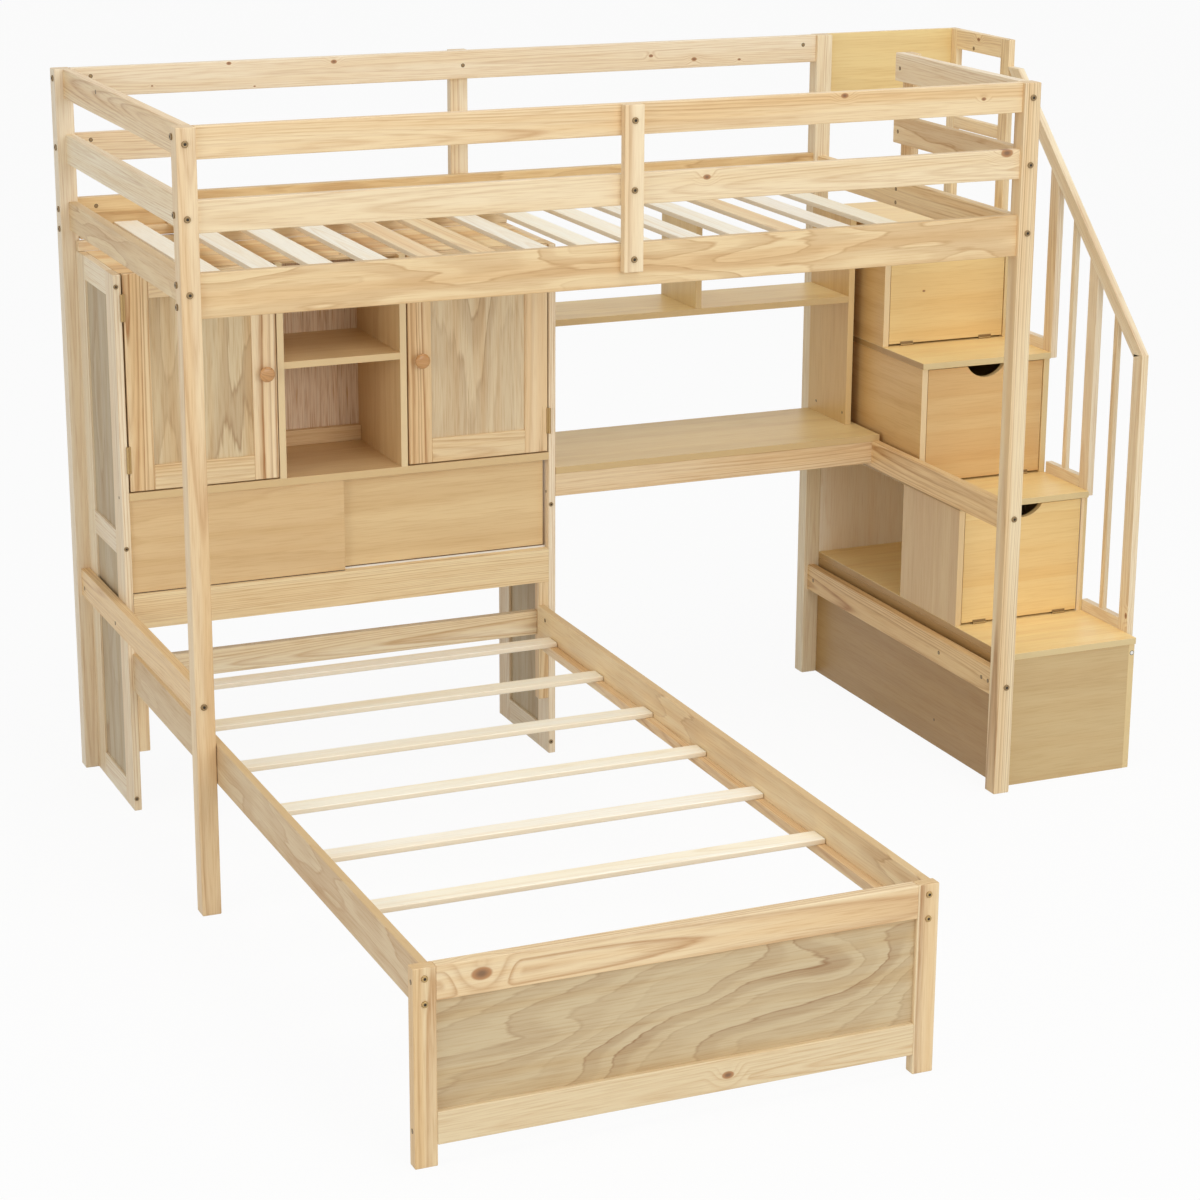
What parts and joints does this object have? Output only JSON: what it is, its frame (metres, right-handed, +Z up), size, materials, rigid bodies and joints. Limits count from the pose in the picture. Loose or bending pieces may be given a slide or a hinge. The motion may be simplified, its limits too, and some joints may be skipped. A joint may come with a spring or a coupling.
{
  "type": "loft bed with lower bed, cabinet, desk and stairs",
  "caption": "Pine loft bed over a crosswise second bed, with a door cabinet, a desk with a hutch, and storage stairs with drop-down flaps and a railing.",
  "frame": {"origin": "bottom centre of the whole bed's bounding box, on the floor", "axes": "+X right along the loft towards the stairs, +Y from the lower bed's foot to the back, +Z up"},
  "size_m": [2.382, 2.344, 1.695],
  "materials": {
    "pine": "clear satin lacquer",
    "grey_pine": "clear satin lacquer",
    "slat_pine": "planed, unfinished",
    "laminate": "smooth wood-grain board",
    "backing": "thin wood-grain sheet",
    "varnish": "turned, glossy lacquer"
  },
  "bodies": {
    "frame": {"loft_post_front_left": "pine", "loft_post_front_right": "pine", "loft_post_back_left": "pine", "loft_post_back_right": "pine", "front_top_rail": "pine", "front_second_rail": "pine", "back_top_rail": "pine", "back_second_rail": "pine", "front_upright": "pine", "back_upright": "pine", "left_end_top_rail": "pine", "left_end_second_rail": "pine", "left_bed_end_rail": "pine", "right_bed_end_rail": "pine", "entry_guard": "pine", "left_low_stretcher": "pine", "right_low_stretcher": "pine", "desk_stretcher": "pine", "cabinet_left_frame": "pine", "cabinet_right_frame": "pine", "cabinet_left_divider": "pine", "cabinet_right_divider": "pine", "cabinet_shelf": "pine", "cabinet_front_rail": "pine", "desk_apron": "pine", "stair_railing": "pine", "platform_guard": "pine", "footboard": "pine", "lower_bed_head": "pine", "front_side_rail": "grey_pine", "back_side_rail": "grey_pine", "cabinet_top_sheet": "grey_pine", "lower_bed_left_rail": "grey_pine", "lower_bed_right_rail": "grey_pine", "deck_slats": "slat_pine", "lower_bed_slats": "slat_pine", "cabinet_counter_board": "laminate", "cabinet_bottom_board": "laminate", "desk_top": "laminate", "hutch_shelf": "laminate", "hutch_side_panel": "laminate", "stair_left_side": "laminate", "stair_right_side": "laminate", "stair_base_panel": "laminate", "cubby_wall": "laminate", "lower_tread": "laminate", "middle_tread": "laminate", "upper_tread": "laminate", "stair_platform": "laminate", "cabinet_back_board": "backing", "stair_back_panel": "backing"},
    "left_door": {"left_door": "pine", "left_door_knob": "varnish"},
    "right_door": {"right_door": "pine", "right_door_knob": "varnish"},
    "left_slider": {"left_sliding_door": "laminate"},
    "right_slider": {"right_sliding_door": "laminate"},
    "lower_flap": {"lower_flap_door": "laminate"},
    "middle_flap": {"middle_flap_door": "laminate"},
    "upper_flap": {"upper_flap_door": "laminate"}
  },
  "joints": [
    {"name": "left_door_hinge", "type": "hinge", "parent": "frame", "child": "left_door", "pos_m": [-1.1395, 0.7794, 1.0245], "axis": [0, 0, -1], "range_deg": [0, 105]},
    {"name": "right_door_hinge", "type": "hinge", "parent": "frame", "child": "right_door", "pos_m": [-0.1035, 0.7794, 1.0245], "axis": [0, 0, 1], "range_deg": [0, 105]},
    {"name": "left_slide", "type": "slide", "parent": "frame", "child": "left_slider", "axis": [1, 0, 0], "range_m": [0, 0.5]},
    {"name": "right_slide", "type": "slide", "parent": "frame", "child": "right_slider", "axis": [-1, 0, 0], "range_m": [0, 0.5]},
    {"name": "lower_flap_hinge", "type": "hinge", "parent": "frame", "child": "lower_flap", "pos_m": [0.992, 0.3875, 0.3375], "axis": [1, 0, 0], "range_deg": [0, 90]},
    {"name": "middle_flap_hinge", "type": "hinge", "parent": "frame", "child": "middle_flap", "pos_m": [0.992, 0.5935, 0.6455], "axis": [1, 0, 0], "range_deg": [0, 90]},
    {"name": "upper_flap_hinge", "type": "hinge", "parent": "frame", "child": "upper_flap", "pos_m": [0.992, 0.7995, 0.9535], "axis": [1, 0, 0], "range_deg": [0, 90]}
  ]
}
